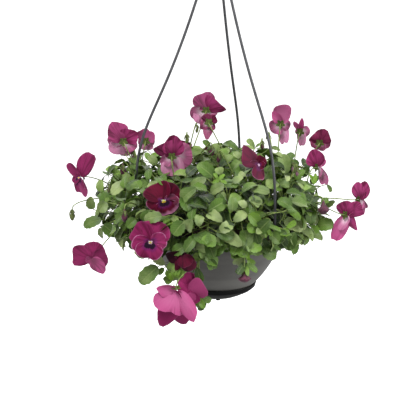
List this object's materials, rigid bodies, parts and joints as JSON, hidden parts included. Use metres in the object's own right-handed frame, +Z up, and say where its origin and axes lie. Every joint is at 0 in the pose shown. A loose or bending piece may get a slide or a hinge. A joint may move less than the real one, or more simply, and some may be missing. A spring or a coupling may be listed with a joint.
{
  "type": "trailing pansy hanging basket",
  "caption": "Hanging pot of trailing pansies: flared bowl, clip-on saucer, three-armed hanger with a hook, soil, leafy stems that spill over the rim, and five-petalled blooms.",
  "frame": {"origin": "the point inside the hook that bears on what holds the basket up, on the pot's axis", "axes": "+Z up along the pot's axis, -Y toward the side with the hanging front blooms"},
  "size_m": [0.4375, 0.3441, 0.5633],
  "materials": {
    "pot": "dark grey satin polypropylene",
    "saucer": "near-black satin polypropylene",
    "hanger": "dark grey moulded plastic",
    "soil": "moist dark potting soil",
    "leaf": "soft mid-green leaves and stems",
    "petal_magenta": "velvety magenta petals, paler behind",
    "petal_wine": "velvety dark wine petals"
  },
  "bodies": {
    "root": {"pot": "pot", "saucer": "saucer", "hanger_hook": "hanger", "hanger_arm_1": "hanger", "hanger_arm_2": "hanger", "hanger_arm_3": "hanger", "soil": "soil", "leafy_stem_01": "leaf", "leafy_stem_02": "leaf", "leafy_stem_03": "leaf", "leafy_stem_04": "leaf", "leafy_stem_05": "leaf", "leafy_stem_06": "leaf", "leafy_stem_07": "leaf", "leafy_stem_08": "leaf", "leafy_stem_09": "leaf", "leafy_stem_10": "leaf", "leafy_stem_11": "leaf", "leafy_stem_12": "leaf", "leafy_stem_13": "leaf", "leafy_stem_14": "leaf", "leafy_stem_15": "leaf", "leafy_stem_16": "leaf", "leafy_stem_17": "leaf", "leafy_stem_18": "leaf", "leafy_stem_19": "leaf", "leafy_stem_20": "leaf", "leafy_stem_21": "leaf", "leafy_stem_22": "leaf", "leafy_stem_23": "leaf", "leafy_stem_24": "leaf", "leafy_stem_25": "leaf", "leafy_stem_26": "leaf", "leafy_stem_27": "leaf", "bloom_01": "petal_magenta", "bloom_02": "petal_wine", "bloom_03": "petal_magenta", "bloom_04": "petal_magenta", "bloom_05": "petal_magenta", "bloom_06": "petal_magenta", "bloom_07": "petal_wine", "bloom_08": "petal_magenta", "bloom_09": "petal_magenta", "bloom_10": "petal_wine", "bloom_11": "petal_magenta", "bloom_12": "petal_magenta", "bloom_13": "petal_wine", "bloom_14": "petal_magenta", "bloom_15": "petal_magenta", "bloom_16": "petal_wine", "bloom_17": "petal_magenta", "bloom_18": "petal_magenta", "bloom_19": "petal_magenta", "bloom_20": "petal_magenta", "bloom_21": "petal_wine", "bloom_22": "petal_magenta", "bloom_23": "petal_magenta"}
  },
  "joints": []
}
